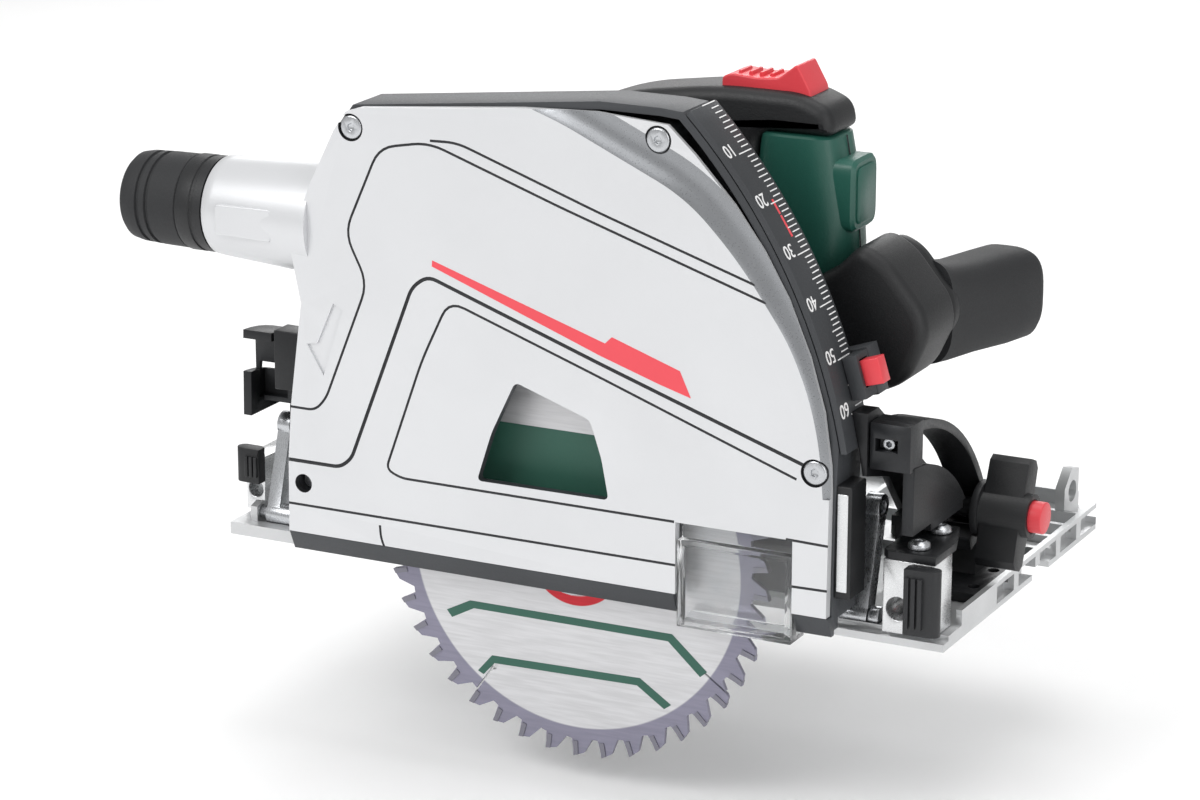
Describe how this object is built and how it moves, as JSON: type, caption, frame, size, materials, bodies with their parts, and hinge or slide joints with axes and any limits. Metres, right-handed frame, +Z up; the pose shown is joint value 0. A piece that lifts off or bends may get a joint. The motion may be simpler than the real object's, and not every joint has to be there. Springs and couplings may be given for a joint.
{
  "type": "track plunge saw",
  "caption": "Corded plunge saw on a flat sole plate: enclosed blade guard, tilting and plunging saw head, D-handle, front grip and chip port.",
  "frame": {"origin": "on the underside of the sole plate, 60 mm from the blade plane, level with the arbor", "axes": "+X the cutting direction, +Y towards the motor, +Z up from the sole"},
  "size_m": [0.366, 0.2014, 0.273],
  "materials": {
    "silver": "satin silver lacquer",
    "anthracite": "anthracite powder coat",
    "black": "fine-grained black moulding",
    "black_metal": "black powder coat on die casting",
    "rubber": "soft black rubber",
    "green": "dark green moulding",
    "red": "red moulding",
    "casting": "bead-blasted light-grey die casting",
    "clamp_metal": "bright machined aluminium",
    "steel": "machined steel",
    "blade_steel": "ground blade steel",
    "copper": "lacquered winding around laminations",
    "clear": "clear polycarbonate"
  },
  "bodies": {
    "base": {"base_plate": "casting", "glide_strip_near": "black", "glide_strip_far": "black", "front_bevel_segment": "black_metal", "rear_bevel_segment": "black_metal", "bevel_stop_screw": "steel", "front_fence_block": "clamp_metal", "front_fence_plate": "black_metal", "front_fence_screw_near": "steel", "front_fence_screw_far": "steel", "rear_fence_block": "clamp_metal", "front_link_pin": "steel", "rear_link_pin": "steel"},
    "guard": {"guard_housing": "anthracite", "guard_cover": "silver", "cover_screw_rear": "steel", "cover_screw_top": "steel", "cover_screw_front": "steel", "depth_scale": "anthracite", "dust_spout": "silver", "front_bevel_arm": "black_metal", "rear_bevel_arm": "black_metal"},
    "head": {"gear_case": "anthracite", "pivot_pin": "steel", "spindle_bearing": "steel", "motor_housing": "green", "motor_cap": "black", "stator": "copper", "handle": "black", "label_plate": "green", "front_body": "black", "front_grip": "rubber", "cord_gland": "rubber"},
    "arbor": {"spindle": "steel", "saw_blade": "blade_steel", "inner_flange": "steel", "outer_flange": "steel", "blade_bolt": "steel", "spindle_gear": "steel"},
    "idler": {"idler_gear": "steel"},
    "armature": {"rotor": "steel", "cooling_fan": "black"},
    "front_fence_lever": {"front_fence_lever": "black"},
    "rear_fence_lever": {"rear_fence_lever": "black"},
    "front_rail_adjuster": {"front_rail_adjuster": "black"},
    "rear_rail_adjuster": {"rear_rail_adjuster": "black"},
    "front_link": {"front_link": "steel"},
    "rear_link": {"rear_link": "steel"},
    "sight_window": {"sight_window": "clear"},
    "depth_stop": {"depth_stop": "anthracite"},
    "depth_stop_button": {"depth_stop_button": "red"},
    "front_bevel_knob": {"front_bevel_knob": "black"},
    "undercut_button": {"undercut_button": "red"},
    "rear_bevel_knob": {"rear_bevel_knob": "black"},
    "dust_nozzle": {"dust_nozzle": "rubber"},
    "trigger": {"trigger": "black"},
    "release_slider": {"release_slider": "red"},
    "speed_wheel": {"speed_wheel": "red"},
    "spindle_lock": {"spindle_lock": "red"}
  },
  "joints": [
    {"name": "bevel_tilt", "type": "hinge", "parent": "base", "child": "guard", "pos_m": [0, -0.06, 0], "axis": [1, 0, 0], "range_deg": [-1, 46]},
    {"name": "front_link_swing", "type": "hinge", "parent": "base", "child": "front_link", "pos_m": [0.11, -0.046, 0.006], "axis": [1, 0, 0], "range_deg": [-2, 50]},
    {"name": "rear_link_swing", "type": "hinge", "parent": "base", "child": "rear_link", "pos_m": [-0.14, -0.046, 0.008], "axis": [1, 0, 0], "range_deg": [-2, 53]},
    {"name": "plunge", "type": "hinge", "parent": "guard", "child": "head", "pos_m": [-0.112, -0.044, 0.0337], "axis": [0, -1, 0], "range_deg": [0, 35]},
    {"name": "blade_spin", "type": "hinge", "parent": "head", "child": "arbor", "pos_m": [0, -0.05, 0.0165], "axis": [0, 1, 0], "continuous": true},
    {"name": "idler_spin", "type": "hinge", "parent": "head", "child": "idler", "pos_m": [0.00686, -0.035, 0.0421], "axis": [0, 1, 0], "continuous": true},
    {"name": "motor_spin", "type": "hinge", "parent": "head", "child": "armature", "pos_m": [0.01336, 0.02, 0.05995], "axis": [0, 1, 0], "continuous": true},
    {"name": "window_lift", "type": "slide", "parent": "guard", "child": "sight_window", "axis": [0, 0, 1], "range_m": [0, 0.006]},
    {"name": "depth_stop_swing", "type": "hinge", "parent": "guard", "child": "depth_stop", "pos_m": [-0.112, -0.048, 0.0337], "axis": [0, -1, 0], "range_deg": [0, 28]},
    {"name": "depth_stop_press", "type": "slide", "parent": "depth_stop", "child": "depth_stop_button", "axis": [-0.9563, 0, -0.2924], "range_m": [0, 0.003], "stiffness_N_per_m": 400, "springref_m": -0.001},
    {"name": "front_knob_turn", "type": "hinge", "parent": "guard", "child": "front_bevel_knob", "pos_m": [0.15, 0.00777, 0.03603], "axis": [1, 0, 0], "range_deg": [0, 120]},
    {"name": "undercut_press", "type": "slide", "parent": "front_bevel_knob", "child": "undercut_button", "axis": [-1, 0, 0], "range_m": [0, 0.0035], "stiffness_N_per_m": 400, "springref_m": -0.001},
    {"name": "rear_knob_turn", "type": "hinge", "parent": "guard", "child": "rear_bevel_knob", "pos_m": [-0.155, 0.00777, 0.03603], "axis": [-1, 0, 0], "range_deg": [0, 120]},
    {"name": "nozzle_twist", "type": "hinge", "parent": "guard", "child": "dust_nozzle", "pos_m": [-0.18, -0.056, 0.137], "axis": [1, 0, 0], "range_deg": [0, 30]},
    {"name": "front_lever_swing", "type": "hinge", "parent": "base", "child": "front_fence_lever", "pos_m": [0.1486, -0.0616, 0.02], "axis": [0, 0, 1], "range_deg": [0, 70]},
    {"name": "rear_lever_swing", "type": "hinge", "parent": "base", "child": "rear_fence_lever", "pos_m": [-0.1602, -0.0416, 0.025], "axis": [0, 0, -1], "range_deg": [0, 70]},
    {"name": "front_adjuster_turn", "type": "hinge", "parent": "base", "child": "front_rail_adjuster", "pos_m": [0.096, 0.045, 0.012], "axis": [0, 0, 1], "range_deg": [-90, 90]},
    {"name": "rear_adjuster_turn", "type": "hinge", "parent": "base", "child": "rear_rail_adjuster", "pos_m": [-0.118, 0.045, 0.012], "axis": [0, 0, 1], "range_deg": [-90, 90]},
    {"name": "trigger_pull", "type": "slide", "parent": "head", "child": "trigger", "axis": [0, 0, 1], "range_m": [0, 0.005], "stiffness_N_per_m": 500, "springref_m": -0.002},
    {"name": "release_push", "type": "slide", "parent": "head", "child": "release_slider", "axis": [-1, 0, 0], "range_m": [0, 0.006], "stiffness_N_per_m": 500, "springref_m": -0.002},
    {"name": "speed_wheel_turn", "type": "hinge", "parent": "head", "child": "speed_wheel", "pos_m": [0.01336, 0.1, 0.08395], "axis": [0, 1, 0], "range_deg": [0, 270]},
    {"name": "spindle_lock_press", "type": "slide", "parent": "head", "child": "spindle_lock", "axis": [0, -1, 0], "range_m": [0, 0.0028], "stiffness_N_per_m": 500, "springref_m": -0.001}
  ],
  "couplings": [
    {"joint": "front_link_swing", "follows": "bevel_tilt", "ratio": 1.076},
    {"joint": "rear_link_swing", "follows": "bevel_tilt", "ratio": 1.132},
    {"joint": "idler_spin", "follows": "blade_spin", "ratio": -0.89286},
    {"joint": "motor_spin", "follows": "blade_spin", "ratio": 2.5}
  ]
}
